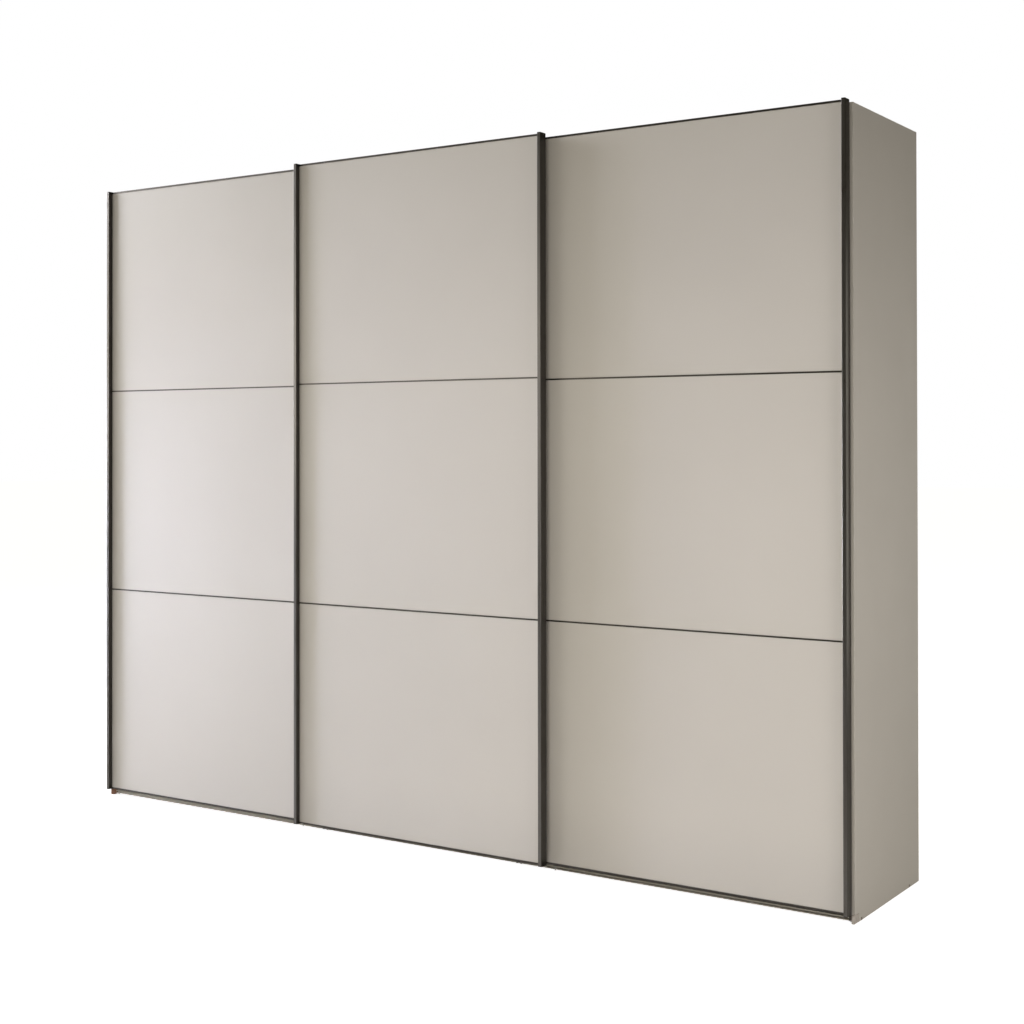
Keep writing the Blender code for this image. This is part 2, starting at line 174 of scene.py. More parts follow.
def case_melamine():
    """Matt board with a fine pearl texture."""
    look = Look("case_melamine")
    base = (0.530, 0.500, 0.450)
    clouds = look.noise(2.1, 3.0, 0.5)
    color = look.mix(look.span(clouds, 0.0, 1.0), shade(base, 0.97), shade(base, 1.02))
    pearl = look.noise(900.0, 3.0, 0.6)
    color = look.mix(look.span(pearl, 0.0, 0.5, 0.45, 0.75), color, shade(base, 0.92))
    haze = look.noise(7.0, 3.0, 0.5)
    return look.finish(color, look.span(haze, 0.50, 0.58), look.bump(pearl, 0.00006, 0.7))


def inner_melamine():
    """Light board with a woven textile print, as wardrobe interiors have."""
    look = Look("inner_melamine")
    base = (0.690, 0.655, 0.600)
    warp = look.noise(260.0, 3.0, 0.6, (1.0, 1.0, THREAD_STRETCH))
    weft = look.noise(260.0, 3.0, 0.6, (THREAD_STRETCH, THREAD_STRETCH, 1.0))
    threads = look.math("ADD", look.math("MULTIPLY", warp, 0.5), look.math("MULTIPLY", weft, 0.5))
    color = look.mix(look.span(threads, 0.0, 1.0, 0.35, 0.65), shade(base, 0.88),
                     shade(base, 1.05))
    return look.finish(color, look.span(threads, 0.50, 0.62), look.bump(threads, 0.00005, 0.7))


def anodised(name, base, rough, along, wear, front_sheen=1.0):
    """Anodised aluminium with drawing lines along one axis and rubbed edges.

    Rubbed edges are brighter by the factor wear. Faces to the front and rear are lighter by the
    last factor, which is a painted highlight of the lights that they mirror.
    """
    look = Look(name)
    stretch = tuple(LINE_STRETCH if axis == along else 1.0 for axis in "XYZ")
    lines = look.noise(1600.0, 3.0, 0.6, stretch)
    blotch = look.noise(9.0, 3.0, 0.5)
    color = look.mix(look.span(lines, 0.0, 1.0), shade(base, 0.88), shade(base, 1.12))
    # painted highlight: faces to the front and rear are lighter than the sides
    if front_sheen != 1.0:
        split = look.node("ShaderNodeSeparateXYZ")
        geometry = look.node("ShaderNodeNewGeometry")
        look.feed(split.inputs[0], geometry.outputs["True Normal"])
        facing = look.math("POWER", split.outputs["Y"], 2.0)
        color = look.mix(facing, color, shade(base, front_sheen))
    rubbed = look.math("MULTIPLY", look.worn_edge(), look.span(blotch, 0.25, 0.7))
    color = look.mix(rubbed, color, shade(base, wear))
    streaks = look.span(lines, -0.03, 0.03)
    smudges = look.span(blotch, rough - 0.03, rough + 0.04)
    roughness = look.math("ADD", streaks, smudges)
    return look.finish(color, roughness, look.bump(lines, 0.00002, 0.5), metallic=1.0)


def zinc_sheet():
    """Zinc-plated sheet with a faint blue and yellow cast."""
    look = Look("zinc_sheet")
    patch = look.noise(60.0, 4.0, 0.6)
    color = look.mix(look.span(patch, 0.0, 1.0), (0.52, 0.53, 0.55), (0.62, 0.60, 0.55))
    return look.finish(color, look.span(patch, 0.28, 0.42), look.bump(patch, 0.00003, 0.5),
                       metallic=1.0)


def bright_tube():
    """Bright anodised tube with fine rings from polishing."""
    look = Look("bright_tube")
    rings = look.noise(1400.0, 2.0, 0.5, (1.0, 0.02, 0.02))
    color = look.mix(look.span(rings, 0.0, 1.0), (0.66, 0.66, 0.66), (0.78, 0.78, 0.77))
    return look.finish(color, look.span(rings, 0.16, 0.26), look.bump(rings, 0.00001, 0.5),
                       metallic=1.0)


def moulded(name, base, rough):
    """Moulded plastic with a spark-eroded grain."""
    look = Look(name)
    grain = look.noise(1500.0, 3.0, 0.6)
    tone = look.noise(45.0, 2.0, 0.5)
    color = look.mix(look.span(tone, 0.0, 1.0), shade(base, 0.88), shade(base, 1.12))
    return look.finish(color, look.span(grain, rough - 0.05, rough + 0.07),
                       look.bump(grain, 0.00005, 0.6))


SLOT_LOOKS = {
    "panel_lacquer": panel_lacquer(),
    "case_lacquer": case_melamine(),
    "inner_board": inner_melamine(),
    # the uprights' front and rear faces carry a painted highlight, 2.1 times lighter than their
    # sides
    "dark_profile": anodised("dark_profile_upright", (0.083, 0.078, 0.072), 0.31, "Z", 1.8, 2.1),
    "track_metal": anodised("track_metal_drawn", (0.495, 0.455, 0.380), 0.42, "X", 1.2),
    "sheet_steel": zinc_sheet(),
    "rail_metal": bright_tube(),
    "roller_plastic": moulded("roller_plastic_grain", (0.045, 0.045, 0.047), 0.40),
    "guide_plastic": moulded("guide_plastic_grain", (0.060, 0.052, 0.045), 0.45),
}
# Painted light: the level profiles are the same dark metal as the uprights, made lighter here for
# the light that falls on them.
LEVEL_PROFILE_LIT = anodised("dark_profile_level_lit", (0.113, 0.104, 0.094), 0.33, "X", 1.5)


def dress_cad():
    """Give every CAD node the procedural material of its slot."""
    slots = {part["node"]: part["material_slot"] for part in frame["record"]["subparts"]}
    for name, piece in frame["nodes"].items():
        look = SLOT_LOOKS[slots[name]]
        # level profiles take the lighter copy, which carries painted light
        if slots[name] == "dark_profile" and not name.endswith("handle"):
            look = LEVEL_PROFILE_LIT
        for entry in piece.material_slots:
            entry.material = look


dress_cad()


# ---------------------------------------------------------------------- shape makers
SMOOTH_BELOW = 40               # degrees; sharper edges stay sharp
MERGE = 1e-6                    # points of a turned shape on its axis become one


def add_piece(name, bm, look, body):
    """Turn a bmesh into a piece that rides on a body and has the given material."""
    bmesh.ops.recalc_face_normals(bm, faces=bm.faces)
    mesh = bpy.data.meshes.new(name)
    bm.to_mesh(mesh)
    bm.free()
    mesh.materials.append(look)
    mesh.shade_smooth()
    mesh.set_sharp_from_angle(angle=math.radians(SMOOTH_BELOW))
    made = bpy.data.objects.new(name, mesh)
    bpy.context.scene.collection.objects.link(made)
    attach(made, body)


def prism(bm, outline, axis, start, end, soft=0.0, segments=2):
    """Extrude an outline along an axis, edges rounded.

    An outline for X holds (y, z) pairs, one for Y holds (x, z) and one for Z (x, y).
    """
    slot_at = "XYZ".index(axis)
    corners = []
    for pair in outline:
        place = list(pair)
        place.insert(slot_at, start)
        corners.append(bm.verts.new(place))
    cap = bm.faces.new(corners)
    drawn = bmesh.ops.extrude_face_region(bm, geom=[cap])["geom"]
    moved = [item for item in drawn if isinstance(item, bmesh.types.BMVert)]
    reach = [0.0, 0.0, 0.0]
    reach[slot_at] = end - start
    bmesh.ops.translate(bm, vec=reach, verts=moved)
    if soft:
        edges = list({edge for vert in corners + moved for edge in vert.link_edges})
        bmesh.ops.bevel(bm, geom=edges, offset=soft, segments=segments, profile=0.5,
                        affect="EDGES", clamp_overlap=True)


def block(bm, low, high, soft, segments=2):
    """A block between two corners, its edges rounded to a radius of soft."""
    outline = [(low[0], low[1]), (high[0], low[1]), (high[0], high[1]), (low[0], high[1])]
    prism(bm, outline, "Z", low[2], high[2], soft, segments)


def turned(bm, outline, place, axis, segments):
    """Spin a (radius, along) outline about an axis direction through place."""
    ring = [bm.verts.new((radius, 0.0, along)) for radius, along in outline]
    closed = outline[0][0] > 0
    count = len(ring) if closed else len(ring) - 1
    edges = [bm.edges.new((ring[i], ring[(i + 1) % len(ring)])) for i in range(count)]
    bmesh.ops.spin(bm, geom=ring + edges, cent=(0, 0, 0), axis=(0, 0, 1),
                   angle=2 * math.pi, steps=segments, use_merge=True, use_duplicate=False)
    verts = set(ring)
    queue = list(ring)
    while queue:
        for edge in queue.pop().link_edges:
            for vert in edge.verts:
                if vert not in verts:
                    verts.add(vert)
                    queue.append(vert)
    bmesh.ops.remove_doubles(bm, verts=list(verts), dist=MERGE)
    verts = [vert for vert in verts if vert.is_valid]
    turn = Vector((0, 0, 1)).rotation_difference(Vector(axis)).to_matrix().to_4x4()
    bmesh.ops.transform(bm, matrix=Matrix.Translation(place) @ turn, verts=verts)


def screw_head(bm, place, axis, radius=0.0035, height=0.0018):
    """A pan head with a round recess, standing on a surface at place."""
    outline = [(0, 0.3 * height), (0.36 * radius, 0.3 * height), (0.40 * radius, height),
               (0.70 * radius, 0.85 * height), (radius, 0.35 * height), (radius, 0),
               (0, 0)]
    turned(bm, outline, place, axis, segments=12)


# ------------------------------------------------------------- places taken from nodes
SIDE_LOW, SIDE_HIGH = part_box("right_side")
TRACK_LOW, TRACK_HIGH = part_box("bottom_track")
RAIL_LOW, RAIL_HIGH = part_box("top_track")
CASE_FRONT = SIDE_LOW[1]
CASE_BACK = SIDE_HIGH[1]
OUTSIDE = SIDE_HIGH[0]
INSIDE = SIDE_LOW[0]
FIT = 0.0003                    # clearance between neighbouring pieces
TOUCH = 0.0001                  # between a piece and the face that it lies on
ABOVE_FLOOR = 0.0002


# ------------------------------------------------------------------ pieces on the case
SHOE = 0.024                    # notch in a side board's lower front corner
SHOE_NOSE = 0.0094              # width of the part that stands before the board
SHOE_NOSE_REACH = 0.006         # how far it stands before the board
SHOE_TONGUE = 0.0140            # from the case's front to the inner part
SHOE_ROUND = 0.0022


def build_shoes():
    """Moulded shoes in the side boards' notches: brown on the left, beige on the right."""
    looks = {-1: moulded("brown_shoe", (0.180, 0.066, 0.022), 0.48),
             1: moulded("beige_shoe", (0.500, 0.455, 0.410), 0.46)}
    front, tongue = CASE_FRONT - SHOE_NOSE_REACH, CASE_FRONT + SHOE_TONGUE
    rear = CASE_FRONT + SHOE - FIT
    inner, nose = INSIDE + FIT, OUTSIDE - SHOE_NOSE
    for side, sign in HANDS:
        outline = [(sign * inner, rear), (sign * OUTSIDE, rear), (sign * OUTSIDE, front),
                   (sign * nose, front), (sign * nose, tongue), (sign * inner, tongue)]
        bm = bmesh.new()
        prism(bm, outline, "Z", ABOVE_FLOOR, SHOE - FIT, SHOE_ROUND, segments=3)
        add_piece(side + "_shoe", bm, looks[sign], "carcass")


LEFT_CAP_PAST = 0.0010          # past the track's end
LEFT_CAP_REACH = 0.0270         # along the track
LEFT_CAP_FLAT = 0.0150          # from its outer end to where the lower edge rises
LEFT_CAP_OUTER = 0.0050         # height of the lower edge at the outer end,
LEFT_CAP_LOWEST = 0.0045        # where it starts to rise,
LEFT_CAP_INNER = 0.0125         # and at the inner end
LEFT_CAP_TOP = 0.0244
LEFT_CAP_PROUD = 0.0012         # before the track's front
LEFT_CAP_ROUND = 0.0014
RIGHT_CAP_PAST = 0.0022
RIGHT_CAP_TOP = 0.0226
RIGHT_CAP_PROUD = 0.0004        # before and below the track
RIGHT_CAP_ROUND = 0.0006
CAP_GAP = 0.0004                # between a cap and the case's front


def build_track_caps():
    """Caps over the bottom track's ends; the left one is long, brown and stands lower."""
    brown = moulded("brown_cap", (0.135, 0.044, 0.000), 0.50)
    front, rear = TRACK_LOW[1], CASE_FRONT - CAP_GAP
    left, right = TRACK_LOW[0] - LEFT_CAP_PAST, TRACK_LOW[0] + LEFT_CAP_REACH
    outline = [(left, LEFT_CAP_OUTER), (left + LEFT_CAP_FLAT, LEFT_CAP_LOWEST),
               (right, LEFT_CAP_INNER), (right, LEFT_CAP_TOP), (left, LEFT_CAP_TOP)]
    bm = bmesh.new()
    prism(bm, outline, "Y", front - LEFT_CAP_PROUD, rear, LEFT_CAP_ROUND, segments=3)
    add_piece("bottom_track_left_cap", bm, brown, "carcass")
    bm = bmesh.new()
    block(bm, (TRACK_HIGH[0] + TOUCH, front - RIGHT_CAP_PROUD, TRACK_LOW[2] - RIGHT_CAP_PROUD),
          (TRACK_HIGH[0] + RIGHT_CAP_PAST, rear, RIGHT_CAP_TOP), RIGHT_CAP_ROUND)
    add_piece("bottom_track_right_cap", bm, SLOT_LOOKS["guide_plastic"], "carcass")


GLIDE_FRONT = 0.045             # glides' middles behind the case's front
GLIDE_REAR = 0.045              # and before its back, under the partitions
GLIDE_SOLE = 0.0062             # radius on the floor
GLIDE_RADIUS = 0.0074
GLIDE_NECK = 0.0050             # radius under the partition
GLIDE_CHAMFER = 0.0014
GLIDE_SHOULDER = 0.0018         # below the partition's foot
GLIDE_GAP = 0.0002
TAB_REAR = 0.082                # the rear tabs on the side boards, before the case's back
TAB_WIDTH = 0.006
TAB_LOW = 0.0008
TAB_HIGH = 0.0088
TAB_SUNK = 0.0002               # inside the board's face
TAB_PROUD = 0.0008              # outside it
TAB_ROUND = 0.0003
CLIP_ASIDE = 0.022              # partition's middle plane to the clip beside it
CLIP_WIDTH = 0.0040
CLIP_PROUD = 0.0007             # before the track's front
CLIP_DOWN = 0.0030              # below the track's lower edge
CLIP_UP = 0.0100                # above it
CLIP_ROUND = 0.0002


def build_glides():
    """Nail-on tabs low on the side boards, and round glides under the partitions.

    A clip over the bottom track's joint stands beside each partition.
    """
    dark = moulded("glide_plastic", (0.090, 0.068, 0.048), 0.42)
    clip_look = moulded("clip_plastic", (0.420, 0.400, 0.360), 0.40)
    for side, sign in HANDS:
        near, far = sorted((sign * (OUTSIDE - TAB_SUNK), sign * (OUTSIDE + TAB_PROUD)))
        for end, y in (("front", CASE_FRONT + GLIDE_FRONT), ("rear", CASE_BACK - TAB_REAR)):
            bm = bmesh.new()
            block(bm, (near, y - TAB_WIDTH / 2, TAB_LOW), (far, y + TAB_WIDTH / 2, TAB_HIGH),
                  TAB_ROUND)
            add_piece(f"{side}_{end}_glide", bm, dark, "carcass")
        low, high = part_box(side + "_partition")
        centre = (low[0] + high[0]) / 2
        foot = low[2]
        outline = [(0, 0.0), (GLIDE_SOLE, 0.0), (GLIDE_RADIUS, GLIDE_CHAMFER),
                   (GLIDE_RADIUS, foot - GLIDE_SHOULDER), (GLIDE_NECK, foot - GLIDE_GAP),
                   (0, foot - GLIDE_GAP)]
        bm = bmesh.new()
        for y in (CASE_FRONT + GLIDE_FRONT, CASE_BACK - GLIDE_REAR):
            turned(bm, outline, (centre, y, 0.0), (0, 0, 1), segments=24)
        add_piece(side + "_partition_glides", bm, dark, "carcass")
        joint = centre + sign * CLIP_ASIDE
        bm = bmesh.new()
        block(bm, (joint - CLIP_WIDTH / 2, TRACK_LOW[1] - CLIP_PROUD, TRACK_LOW[2] - CLIP_DOWN),
              (joint + CLIP_WIDTH / 2, TRACK_LOW[1] - TOUCH, TRACK_LOW[2] + CLIP_UP), CLIP_ROUND)
        add_piece(side + "_track_clip", bm, clip_look, "carcass")


TRACK_SHEET = 0.002             # thickness of the top track's base
TOP_SCREWS = 9
TOP_SCREW_PITCH = 0.33
TOP_SCREW_BEHIND = 0.022        # behind the case's front, between the ribs
BOTTOM_SCREWS = 7
BOTTOM_SCREW_PITCH = 0.43
BOTTOM_SCREW_BEFORE = 0.0018    # heads stand on the track's sheet before the case's front
BOTTOM_SCREW_Z = 0.044
BOTTOM_SCREW_SIZE = (0.0032, 0.0012)    # head's radius and height
LANES = (0.010, 0.034)          # the two running ribs behind the case's front
STOP_SPAN = (1.351, 1.376)      # end stops, from the wardrobe's middle
STOP_HALF = 0.0055              # half their depth
STOP_HEIGHTS = (0.0002, 0.0130)         # lower and upper face above the ribs' top
STOP_ROUND = 0.0012
FACE_SPAN = (1.3478, 1.3512)    # their rubber faces
FACE_HALF = 0.0040
FACE_HEIGHTS = (0.0020, 0.0112)
FACE_ROUND = 0.0010


def screw_row(name, count, pitch, y, z, axis, *size):
    """Equally spaced screw heads along X, the row centred on the wardrobe."""
    bm = bmesh.new()
    for index in range(count):
        screw_head(bm, (pitch * (index - (count - 1) / 2), y, z), axis, *size)
    add_piece(name, bm, SLOT_LOOKS["sheet_steel"], "carcass")


def build_track_fixings():
    """Screws in both tracks and rubber-faced stops at the top track's ends."""
    screw_row("top_track_screws", TOP_SCREWS, TOP_SCREW_PITCH, CASE_FRONT + TOP_SCREW_BEHIND,
              RAIL_LOW[2] + TRACK_SHEET, (0, 0, 1))
    screw_row("bottom_track_screws", BOTTOM_SCREWS, BOTTOM_SCREW_PITCH,
              CASE_FRONT - BOTTOM_SCREW_BEFORE, BOTTOM_SCREW_Z, (0, -1, 0), *BOTTOM_SCREW_SIZE)
    top = RAIL_HIGH[2]
    for side, sign in HANDS:
        stop = sorted(sign * x for x in STOP_SPAN)
        face = sorted(sign * x for x in FACE_SPAN)
        bm = bmesh.new()
        for lane in LANES:
            y = CASE_FRONT + lane
            block(bm, (stop[0], y - STOP_HALF, top + STOP_HEIGHTS[0]),
                  (stop[1], y + STOP_HALF, top + STOP_HEIGHTS[1]), STOP_ROUND, segments=3)
            block(bm, (face[0], y - FACE_HALF, top + FACE_HEIGHTS[0]),
                  (face[1], y + FACE_HALF, top + FACE_HEIGHTS[1]), FACE_ROUND)
        add_piece(f"top_track_{side}_stops", bm, SLOT_LOOKS["roller_plastic"], "carcass")


PIN_INSET = 0.037               # shelf pins from the shelf's front and back edges
PIN_DROP = 0.0061               # pin axis below the shelf


def build_inner_fittings():
    """Cups that hold the clothes rails and pins under the shelves."""
    steel = SLOT_LOOKS["sheet_steel"]
    cup = [(0.0128, 0.0003), (0.0215, 0.0003), (0.0215, 0.0022), (0.0200, 0.0030),
           (0.0165, 0.0036), (0.0158, 0.0125), (0.0150, 0.0132), (0.0128, 0.0132)]
    pin = [(0, 0.0003), (0.0058, 0.0003), (0.0058, 0.0016), (0.0026, 0.0020),
           (0.0026, 0.0086), (0.0020, 0.0092), (0, 0.0092)]
    for door in DOORS:
        low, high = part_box(door + "_clothes_rail")
        y, z = (low[1] + high[1]) / 2, (low[2] + high[2]) / 2
        for hand, sign, x in (("left", -1, low[0]), ("right", 1, high[0])):
            bm = bmesh.new()
            turned(bm, cup, (x, y, z), (-sign, 0, 0), segments=32)
            add_piece(f"{door}_rail_{hand}_cup", bm, steel, "carcass")
        low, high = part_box(door + "_shelf")
        bm = bmesh.new()
        for x, sign in ((low[0], -1), (high[0], 1)):
            for y in (low[1] + PIN_INSET, high[1] - PIN_INSET):
                turned(bm, pin, (x, y, low[2] - PIN_DROP), (-sign, 0, 0), segments=16)
        add_piece(door + "_shelf_pins", bm, steel, "carcass")


NAIL_COLUMNS = 22               # spaces between the nails of a row
NAIL_ROWS = 15                  # spaces between the nails of a column
NAIL_EDGE = 0.011               # nails from the back boards' upper and lower edges
WALL_NAILS = 0.008              # inwards from the side boards' inner faces
JOINT_NAILS = 0.006             # either side of a joint between two back boards


def build_back_nails():
    """Nails round the edges of the back boards and along partitions and shelves."""
    low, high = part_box("left_back")
    rear = high[1]
    top, bottom = high[2] - NAIL_EDGE, low[2] + NAIL_EDGE
    shelf = sum(corner[2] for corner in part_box("left_shelf")) / 2
    wall = INSIDE - WALL_NAILS
    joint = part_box("right_back")[0][0]
    spots = [(-wall + 2 * wall * i / NAIL_COLUMNS, z) for i in range(NAIL_COLUMNS + 1)
             for z in (top, bottom, shelf)]
    columns = (-wall, -joint - JOINT_NAILS, -joint + JOINT_NAILS, joint - JOINT_NAILS,
               joint + JOINT_NAILS, wall)
    for i in range(1, NAIL_ROWS):
        z = bottom + (top - bottom) * i / NAIL_ROWS
        spots += [(x, z) for x in columns]
    head = [(0, 0.0006), (0.0012, 0.0006), (0.0019, 0.0001), (0.0019, 0), (0, 0)]
    bm = bmesh.new()
    for x, z in spots:
        turned(bm, head, (x, rear, z), (0, 1, 0), segments=10)
    add_piece("back_nails", bm, SLOT_LOOKS["sheet_steel"], "carcass")


# ----------------------------------------------------------------- pieces on the doors
CAP_HEIGHT = 0.0012             # plastic caps on the handle profiles' ends
CAP_INSET = 0.0002
CAP_ROUND = 0.0004
SCREW_ASIDE = 0.028             # carriage screws either side of its middle
SCREW_UP = 0.012                # and above its lower edge
CARRIAGE_SHEET = 0.0025
HEXAGON = 0.0040                # hexagon heads' radius over the corners
HEXAGON_HEIGHT = 0.0021
HEXAGON_BEHIND = 0.0135         # behind the carriage's front
HEXAGON_ROUND = 0.0004
BLADE_HALF = 0.020              # half a guide blade's length
BLADE_SHEET = 0.0014
BLADE_LOW = 0.0165              # its lower edge, behind the bottom track's lip
BLADE_BEFORE = 0.0031           # its rear face, before the case's front
BLADE_DROP = 0.0010             # its step, below the door's lower profile
BLADE_FLANGE = 0.0170           # height of the flange on the profile's back
BLADE_SCREW_UP = 0.011
BLADE_SCREW_ASIDE = 0.012
BLADE_SCREW_SIZE = (0.0028, 0.0010)     # head's radius and height
ARM_WIDTH = 0.0092              # of the middle door's guides
PAD_WIDTH = 0.0046
PAD_LOW = 0.0112
PAD_HIGH = 0.0190
PAD_FRONT = 0.0034              # before the bottom track's mouth
PAD_REAR = 0.0010
PAD_ROUND = 0.0005


def build_handle_caps(door, hand, look):
    """Flat caps on both ends of a handle profile."""
    body = door + "_door"
    low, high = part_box(f"{body}_{hand}_handle")
    for end, z in (("top", high[2] + TOUCH), ("foot", low[2] - TOUCH - CAP_HEIGHT)):
        bm = bmesh.new()
        block(bm, (low[0] + CAP_INSET, low[1] + CAP_INSET, z),
              (high[0] - CAP_INSET, high[1] - CAP_INSET, z + CAP_HEIGHT), CAP_ROUND)
        add_piece(f"{body}_{hand}_{end}_cap", bm, look, body)


def build_carriage_screws(door, hand):
    """Two screws into the door's back and two hexagon heads on the carriage's top."""
    body = door + "_door"
    low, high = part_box(f"{body}_{hand}_carriage")
    centre = (low[0] + high[0]) / 2
    y = low[1] + HEXAGON_BEHIND
    bm = bmesh.new()
    for x in (centre - SCREW_ASIDE, centre + SCREW_ASIDE):
        screw_head(bm, (x, low[1] + CARRIAGE_SHEET, low[2] + SCREW_UP), (0, 1, 0))
        hexagon = [(x + HEXAGON * math.cos(turn * math.pi / 3),
                    y + HEXAGON * math.sin(turn * math.pi / 3)) for turn in range(6)]
        prism(bm, hexagon, "Z", high[2] - TOUCH, high[2] + HEXAGON_HEIGHT, HEXAGON_ROUND)
    add_piece(f"{body}_{hand}_carriage_screws", bm, SLOT_LOOKS["sheet_steel"], body)


def build_blade(door, hand):
    """A bent sheet from an outer door's lower profile down behind the bottom track's lip."""
    body = door + "_door"
    carriage_low, carriage_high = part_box(f"{body}_{hand}_carriage")
    centre = (carriage_low[0] + carriage_high[0]) / 2
    profile_low, profile_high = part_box(body + "_bottom_profile")
    front = profile_high[1] + TOUCH
    rear = CASE_FRONT - BLADE_BEFORE
    step = profile_low[2] - BLADE_DROP
    top = step + BLADE_FLANGE
    outline = [(front, step), (rear - BLADE_SHEET, step), (rear - BLADE_SHEET, BLADE_LOW),
               (rear, BLADE_LOW), (rear, step + BLADE_SHEET),
               (front + BLADE_SHEET, step + BLADE_SHEET), (front + BLADE_SHEET, top),
               (front, top)]
    bm = bmesh.new()
    prism(bm, outline, "X", centre - BLADE_HALF, centre + BLADE_HALF)
    for x in (centre - BLADE_SCREW_ASIDE, centre + BLADE_SCREW_ASIDE):
        place = (x, front + BLADE_SHEET, step + BLADE_SCREW_UP)
        screw_head(bm, place, (0, 1, 0), *BLADE_SCREW_SIZE)
    add_piece(f"{body}_{hand}_blade", bm, SLOT_LOOKS["sheet_steel"], body)


def build_guide_pads(hand, look):
    """Pads on both sides of a guide's left arm, just before the bottom track's mouth."""
    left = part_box(f"middle_door_{hand}_guide")[0][0]
    mouth = TRACK_LOW[1]
    bm = bmesh.new()
    for x in (left - PAD_WIDTH, left + ARM_WIDTH):
        block(bm, (x, mouth - PAD_FRONT, PAD_LOW), (x + PAD_WIDTH, mouth - PAD_REAR, PAD_HIGH),
              PAD_ROUND)
    add_piece(f"middle_door_{hand}_guide_pads", bm, look, "middle_door")


def build_door_fittings():
    """Caps, screws, guide blades and guide pads of the three doors."""
    cap_look = moulded("profile_cap", (0.016, 0.016, 0.017), 0.34)
    for door in DOORS:
        for hand in ("left", "right"):
            build_handle_caps(door, hand, cap_look)
            build_carriage_screws(door, hand)
            if door != "middle":
                build_blade(door, hand)
    pad_look = moulded("nylon_pad", (0.36, 0.34, 0.31), 0.38)
    for hand in ("left", "right"):
        build_guide_pads(hand, pad_look)


build_shoes()
build_track_caps()
build_glides()
build_track_fixings()
build_inner_fittings()
build_back_nails()
build_door_fittings()


# ----------------------------------------------------------------------------- stage
KEY_TINT = (0.93, 0.97, 1.15)
HIGH_TINT = (1.00, 1.01, 1.08)
FILL_TINT = (1.10, 1.05, 0.95)
SIDE_TINT = (1.09, 1.05, 1.04)
AMBIENT_TINT = (1.03, 0.96, 0.70)
AMBIENT = 0.09
FLOOR_COLOR = (0.80, 0.80, 0.79)
FLOOR_GLOW = 0.02               # what the floor sends up at the object
FLOOR_LIFT = 0.94               # what the camera sees of it even in shadow
FLOOR_SHADE = 0.75              # and how much of the light on it is added
FLOOR_HALF = 40.0
FLOOR_Z = -0.0005
FLAG_LOW = (0.2, -3.0)          # the floor flag's corners and height
FLAG_HIGH = (2.4, -1.3)
FLAG_Z = 0.260


def pale_floor():
    """Matt white studio floor; what the camera sees directly is lifted close to white."""
    made = bpy.data.materials.new("studio_floor")
    made.use_nodes = True
    tree = made.node_tree
    shader = tree.nodes["Principled BSDF"]
    shader.inputs["Base Color"].default_value = (*FLOOR_COLOR, 1.0)
    shader.inputs["Roughness"].default_value = 0.9
    shader.inputs["Emission Color"].default_value = (*AMBIENT_TINT, 1.0)
    shader.inputs["Emission Strength"].default_value = FLOOR_GLOW
    lifted = tree.nodes.new("ShaderNodeBsdfDiffuse")
    lifted.inputs["Color"].default_value = (FLOOR_SHADE, FLOOR_SHADE, FLOOR_SHADE, 1.0)
    glow = tree.nodes.new("ShaderNodeEmission")
    glow.inputs["Strength"].default_value = FLOOR_LIFT
    both = tree.nodes.new("ShaderNodeAddShader")
    path = tree.nodes.new("ShaderNodeLightPath")
    pick = tree.nodes.new("ShaderNodeMixShader")
    tree.links.new(lifted.outputs[0], both.inputs[0])
    tree.links.new(glow.outputs[0], both.inputs[1])
    tree.links.new(path.outputs["Is Camera Ray"], pick.inputs[0])
    tree.links.new(shader.outputs[0], pick.inputs[1])
    tree.links.new(both.outputs[0], pick.inputs[2])
    tree.links.new(pick.outputs[0], tree.nodes["Material Output"].inputs["Surface"])
    return made


def build_floor():
    """One white square that reaches far past the wardrobe, just under its feet."""
    bm = bmesh.new()
    bmesh.ops.create_grid(bm, x_segments=1, y_segments=1, size=FLOOR_HALF)
    mesh = bpy.data.meshes.new("studio_floor")
    bm.to_mesh(mesh)
    bm.free()
    floor = bpy.data.objects.new("studio_floor", mesh)
    floor.data.materials.append(pale_floor())
    floor.location = (0, 0, FLOOR_Z)
    bpy.context.scene.collection.objects.link(floor)


def build_floor_flag():
    """A black flag that keeps the near front light off the floor; it is never in view."""
    look = bpy.data.materials.new("floor_flag")
    look.use_nodes = True
    look.node_tree.nodes["Principled BSDF"].inputs["Base Color"].default_value = (0, 0, 0, 1)
    bm = bmesh.new()
    corners = (FLAG_LOW, (FLAG_HIGH[0], FLAG_LOW[1]), FLAG_HIGH, (FLAG_LOW[0], FLAG_HIGH[1]))
    bm.faces.new([bm.verts.new((x, y, FLAG_Z)) for x, y in corners])
    mesh = bpy.data.meshes.new("floor_flag")
    bm.to_mesh(mesh)
    bm.free()
    mesh.materials.append(look)
    flag = bpy.data.objects.new("floor_flag", mesh)
    flag.visible_camera = False
    flag.visible_diffuse = False
    flag.visible_glossy = False
    bpy.context.scene.collection.objects.link(flag)


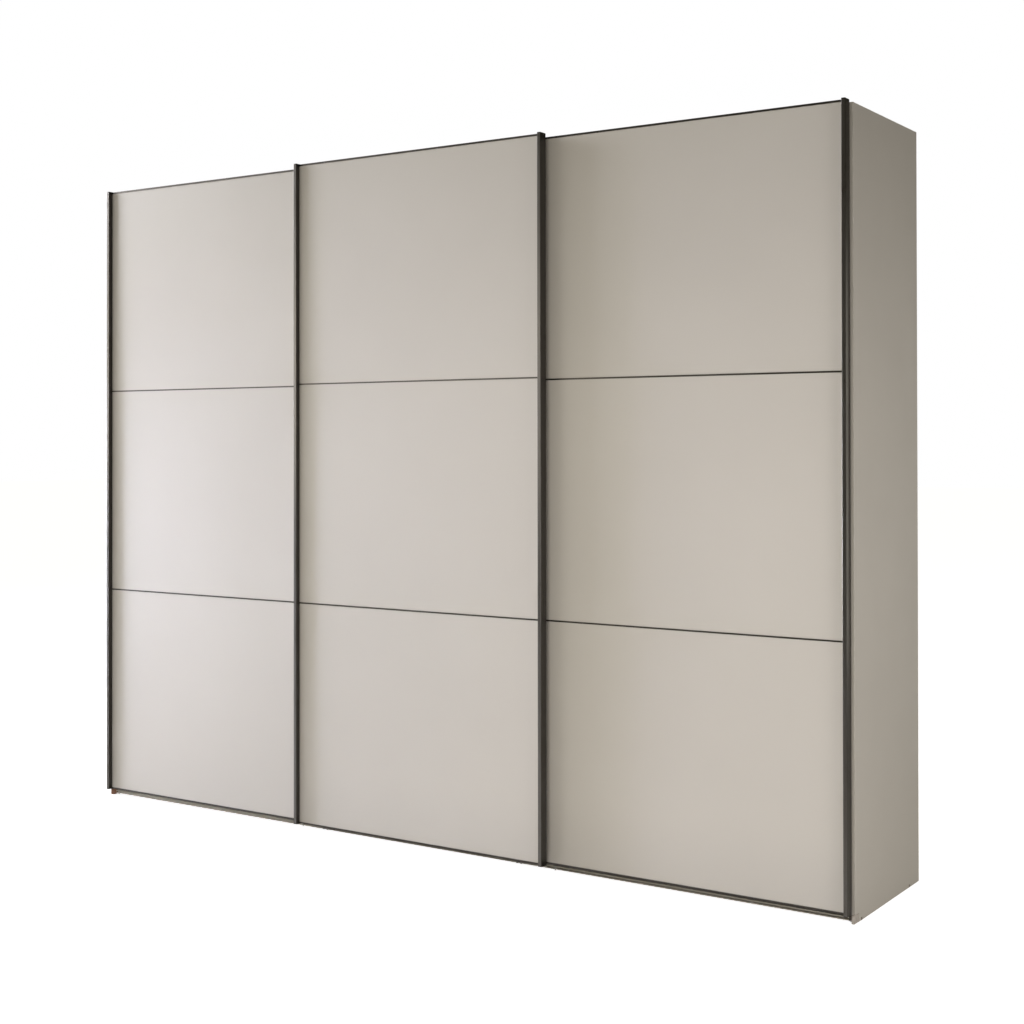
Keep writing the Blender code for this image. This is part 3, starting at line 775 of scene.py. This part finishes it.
# name, place, target, size, power, colour, spread in degrees
LAMPS = (
    ("key_low", (-5.31, -1.08, 0.8), (0.0, -0.25, 0.75), (1.2, 1.4), 21.4, KEY_TINT, 45),
    ("high_left", (-5.11, -1.75, 3.4), (-0.5, -0.25, 1.1), (1.6, 1.6), 182, HIGH_TINT, 180),
    ("front_wide", (-3.05, -3.5, 1.7), (0.0, -0.25, 1.3), (3.2, 1.3), 24, FILL_TINT, 180),
    ("front_middle", (-0.4, -2.6, 1.7), (-0.4, -0.25, 1.6), (2.0, 0.7), 4.4, FILL_TINT, 180),
    ("front_near", (1.3, -2.6, 0.8), (1.0, -0.25, 0.8), (1.2, 1.0), 19.6, FILL_TINT, 180),
    ("side_fill", (3.6, -0.9, 0.9), (1.4, 0.0, 0.9), (1.0, 1.2), 25, SIDE_TINT, 180),
    ("rear_right", (3.4, 4.6, 1.1), (1.4, 0.0, 1.0), (1.7, 2.4), 12, FILL_TINT, 180),
    ("rear_soft", (0.0, 4.6, 1.6), (0.0, 0.3, 1.2), (2.6, 1.8), 15, FILL_TINT, 50),
    ("left_soft", (-3.4, 1.3, 1.2), (-1.4, 0.05, 1.08), (1.2, 1.8), 26, SIDE_TINT, 180),
    ("top_soft", (0.0, 0.4, 4.4), (0.0, 0.1, 2.1), (2.4, 0.6), 6, FILL_TINT, 70),
)
UNMIRRORED = ("front_middle", "front_near")     # lights that shiny faces don't mirror
KEYS = ("key_low", "high_left")                 # too strong for the side board that faces them


def board_out_of_keys():
    """The left side board in a collection that the key lights leave out."""
    left_out = bpy.data.collections.new("left_out_of_key_lights")
    left_out.objects.link(frame["nodes"]["left_side"])
    left_out.collection_objects[0].light_linking.link_state = "EXCLUDE"
    return left_out


def area_light(left_out, name, place, target, size, power, color, spread):
    """A softbox that lights the object but stays out of every picture."""
    data = bpy.data.lights.new(name, "AREA")
    data.shape = "RECTANGLE"
    data.size, data.size_y = size
    data.energy = power
    data.color = color
    data.spread = math.radians(spread)
    lamp = bpy.data.objects.new(name, data)
    lamp.location = place
    aim = Vector(target) - Vector(place)
    lamp.rotation_euler = aim.to_track_quat("-Z", "Y").to_euler()
    lamp.visible_camera = False
    lamp.visible_glossy = name not in UNMIRRORED
    if name in KEYS:
        lamp.light_linking.receiver_collection = left_out
    bpy.context.scene.collection.objects.link(lamp)


def build_world():
    """Even studio fill; the camera itself sees a white backdrop."""
    world = bpy.data.worlds.new("studio")
    world.use_nodes = True
    tree = world.node_tree
    seen = tree.nodes.new("ShaderNodeBackground")
    seen.inputs["Color"].default_value = (1.0, 1.0, 1.0, 1.0)
    lit = tree.nodes["Background"]
    lit.inputs["Color"].default_value = (*AMBIENT_TINT, 1.0)
    lit.inputs["Strength"].default_value = AMBIENT
    path = tree.nodes.new("ShaderNodeLightPath")
    mix = tree.nodes.new("ShaderNodeMixShader")
    tree.links.new(path.outputs["Is Camera Ray"], mix.inputs[0])
    tree.links.new(lit.outputs[0], mix.inputs[1])
    tree.links.new(seen.outputs[0], mix.inputs[2])
    tree.links.new(mix.outputs[0], tree.nodes["World Output"].inputs["Surface"])
    bpy.context.scene.world = world


EYE = (2.9387, -4.2184, 1.2659)
EYE_TURN = (90.45, 0.067, 33.979)               # degrees
SENSOR = 36.0                                   # millimetres, as is the lens
LENS = 55.85
SHIFT = (0.0233, -0.0796)


def build_camera():
    """Eye height, to the right of the wardrobe, with almost upright verticals."""
    data = bpy.data.cameras.new("camera")
    data.sensor_width = SENSOR
    data.lens = LENS
    data.shift_x, data.shift_y = SHIFT
    camera = bpy.data.objects.new("camera", data)
    camera.location = EYE
    camera.rotation_euler = [math.radians(angle) for angle in EYE_TURN]
    bpy.context.scene.collection.objects.link(camera)
    bpy.context.scene.camera = camera


bpy.context.scene.view_settings.view_transform = "Standard"
build_world()
build_floor()
build_floor_flag()
left_out = board_out_of_keys()
for lamp_row in LAMPS:
    area_light(left_out, *lamp_row)
build_camera()
